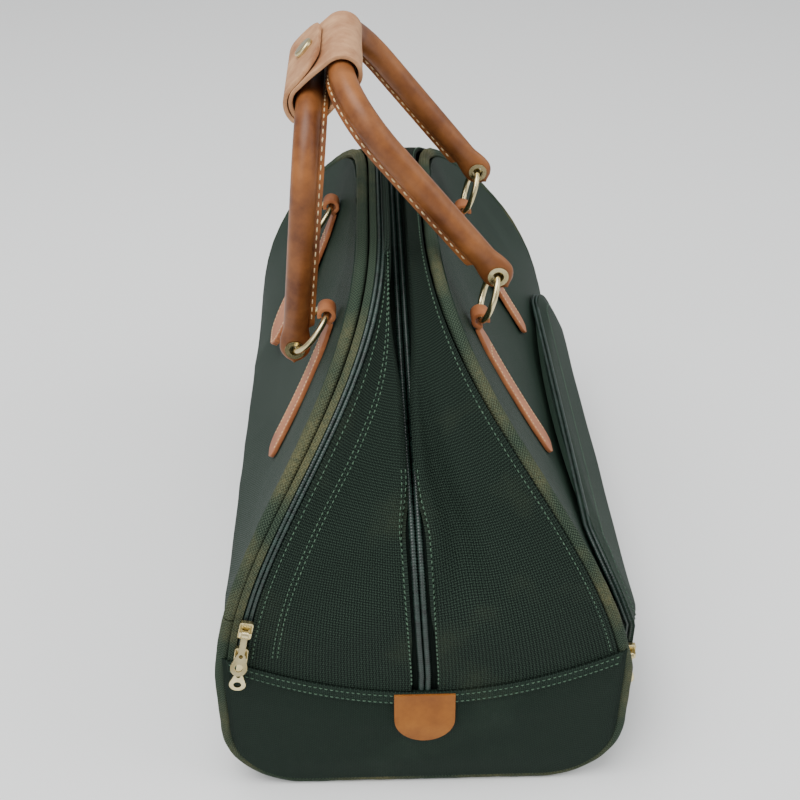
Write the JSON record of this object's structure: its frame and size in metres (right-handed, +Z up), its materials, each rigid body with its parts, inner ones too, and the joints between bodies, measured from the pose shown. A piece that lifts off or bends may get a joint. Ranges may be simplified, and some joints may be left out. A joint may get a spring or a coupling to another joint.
{
  "type": "doctor bag",
  "caption": "Soft-sided doctor bag with leaning walls, round crown, rolled handles on rings, zip-round front pocket and wide back pocket.",
  "frame": {"origin": "middle of the base, on the surface that the bag stands on", "axes": "+X along the bag towards the end with the two pocket sliders, -Y the front with the zip-round pocket, +Z up"},
  "size_m": [0.4848, 0.27, 0.4241],
  "materials": {
    "body_nylon": "matte",
    "gusset_twill": "matte",
    "band_nylon": "matte",
    "piping": "matte",
    "lining": "matte",
    "board": "matte",
    "zipper_coil": "satin",
    "handle_leather": "satin",
    "strap_leather": "satin",
    "wrap_leather": "matte",
    "brass": "satin"
  },
  "bodies": {
    "base": {"bottom_panel": "body_nylon", "base_board": "board", "near_end_band": "band_nylon", "far_end_band": "band_nylon", "near_base_piping": "piping", "far_base_piping": "piping", "near_end_tab": "strap_leather", "far_end_tab": "strap_leather", "near_lower_gusset": "gusset_twill", "far_lower_gusset": "gusset_twill", "near_main_coil_foot": "zipper_coil", "far_main_coil_foot": "zipper_coil", "near_front_coil_foot": "zipper_coil", "far_front_coil_foot": "zipper_coil", "pocket_panel_coil": "zipper_coil"},
    "front_wall": {"front_inner_wall": "lining", "front_gusset": "gusset_twill", "front_gusset_coil": "zipper_coil", "front_main_coil": "zipper_coil"},
    "front_lid": {"front_panel": "body_nylon", "front_piping": "piping", "front_lid_gusset": "gusset_twill", "front_lid_coil": "zipper_coil", "near_front_strap": "strap_leather", "far_front_strap": "strap_leather"},
    "back_wall": {"back_panel": "body_nylon", "back_piping": "piping", "back_gusset": "gusset_twill", "back_main_coil": "zipper_coil", "near_back_strap": "strap_leather", "far_back_strap": "strap_leather"},
    "pocket_lid": {"pocket_flap": "body_nylon", "pocket_flap_coil": "zipper_coil"},
    "front_rings": {"near_front_ring": "brass", "far_front_ring": "brass"},
    "back_rings": {"near_back_ring": "brass", "far_back_ring": "brass"},
    "front_grip": {"front_handle": "handle_leather", "front_handle_grommets": "brass", "handle_wrap": "wrap_leather"},
    "back_grip": {"back_handle": "handle_leather", "back_handle_grommets": "brass"},
    "wrap_end": {"wrap_flap": "wrap_leather", "snap_cap": "brass"},
    "upper_slider": {"front_slider_upper": "brass"},
    "upper_pull": {"front_pull_upper": "brass"},
    "lower_slider": {"front_slider_lower": "brass"},
    "lower_pull": {"front_pull_lower": "brass"},
    "main_zip_slider": {"main_slider": "brass"},
    "main_zip_pull": {"main_pull": "brass"},
    "pocket_zip_slider": {"pocket_slider": "brass"},
    "pocket_zip_pull": {"pocket_pull": "brass"},
    "tag": {"luggage_tag": "strap_leather"}
  },
  "joints": [
    {"name": "front_wall_open", "type": "hinge", "parent": "base", "child": "front_wall", "pos_m": [0, -0.12108, 0.15], "axis": [1, 0, 0], "range_deg": [0, 30]},
    {"name": "front_lid_open", "type": "hinge", "parent": "front_wall", "child": "front_lid", "pos_m": [0, -0.12108, 0.15], "axis": [1, 0, 0], "range_deg": [0, 60]},
    {"name": "back_wall_open", "type": "hinge", "parent": "base", "child": "back_wall", "pos_m": [0, 0.11515, 0.15], "axis": [1, 0, 0], "range_deg": [-30, 0]},
    {"name": "pocket_open", "type": "hinge", "parent": "base", "child": "pocket_lid", "pos_m": [0, 0.1415, 0.054], "axis": [1, 0, 0], "range_deg": [-50, 0]},
    {"name": "front_ring_swing", "type": "hinge", "parent": "front_lid", "child": "front_rings", "pos_m": [0, -0.0575, 0.2702], "axis": [1, 0, 0], "range_deg": [-29, 0]},
    {"name": "back_ring_swing", "type": "hinge", "parent": "back_wall", "child": "back_rings", "pos_m": [0, 0.04022, 0.26484], "axis": [1, 0, 0], "range_deg": [-50, 0]},
    {"name": "front_handle_swing", "type": "hinge", "parent": "front_rings", "child": "front_grip", "pos_m": [0, -0.07871, 0.24493], "axis": [1, 0, 0], "range_deg": [0, 145], "deforming": ["handle_wrap"]},
    {"name": "back_handle_swing", "type": "hinge", "parent": "back_rings", "child": "back_grip", "pos_m": [0, 0.04987, 0.2964], "axis": [1, 0, 0], "range_deg": [-125, 0]},
    {"name": "wrap_flap_lift", "type": "hinge", "parent": "front_grip", "child": "wrap_end", "pos_m": [0, -0.07491, 0.38108], "axis": [1, 0, 0], "range_deg": [0, 110]},
    {"name": "upper_slider_slide", "type": "slide", "parent": "base", "child": "upper_slider", "axis": [-0.1134, 0.2626, 0.9582], "range_m": [0, 0.009]},
    {"name": "upper_pull_swing", "type": "hinge", "parent": "upper_slider", "child": "upper_pull", "pos_m": [0.2356, -0.1063, 0.145], "axis": [0, -0.9731, 0.2302], "range_deg": [0, 100]},
    {"name": "lower_slider_slide", "type": "slide", "parent": "base", "child": "lower_slider", "axis": [0, 0.1645, 0.9864], "range_m": [0, 0.006]},
    {"name": "lower_pull_swing", "type": "hinge", "parent": "lower_slider", "child": "lower_pull", "pos_m": [0.2356, -0.11049, 0.124], "axis": [0, -0.9864, 0.1645], "range_deg": [0, 40]},
    {"name": "main_slider_slide", "type": "slide", "parent": "base", "child": "main_zip_slider", "axis": [0, 0, 1], "range_m": [0, 0.03]},
    {"name": "main_pull_swing", "type": "hinge", "parent": "main_zip_slider", "child": "main_zip_pull", "pos_m": [-0.2356, 0, 0.114], "axis": [0, 1, 0], "range_deg": [0, 150]},
    {"name": "pocket_slider_slide", "type": "slide", "parent": "base", "child": "pocket_zip_slider", "axis": [0, 0, 1], "range_m": [0, 0.018]},
    {"name": "pocket_pull_swing", "type": "hinge", "parent": "pocket_zip_slider", "child": "pocket_zip_pull", "pos_m": [0.1956, 0.135, 0.078], "axis": [0, -1, 0], "range_deg": [0, 150]},
    {"name": "tag_lift", "type": "hinge", "parent": "front_lid", "child": "tag", "pos_m": [-0.08, -0.07344, 0.228], "axis": [1, 0, 0], "range_deg": [-75, 0]}
  ],
  "couplings": [
    {"joint": "front_ring_swing", "follows": "front_handle_swing", "ratio": -0.2},
    {"joint": "back_ring_swing", "follows": "back_handle_swing", "ratio": 0.4}
  ]
}
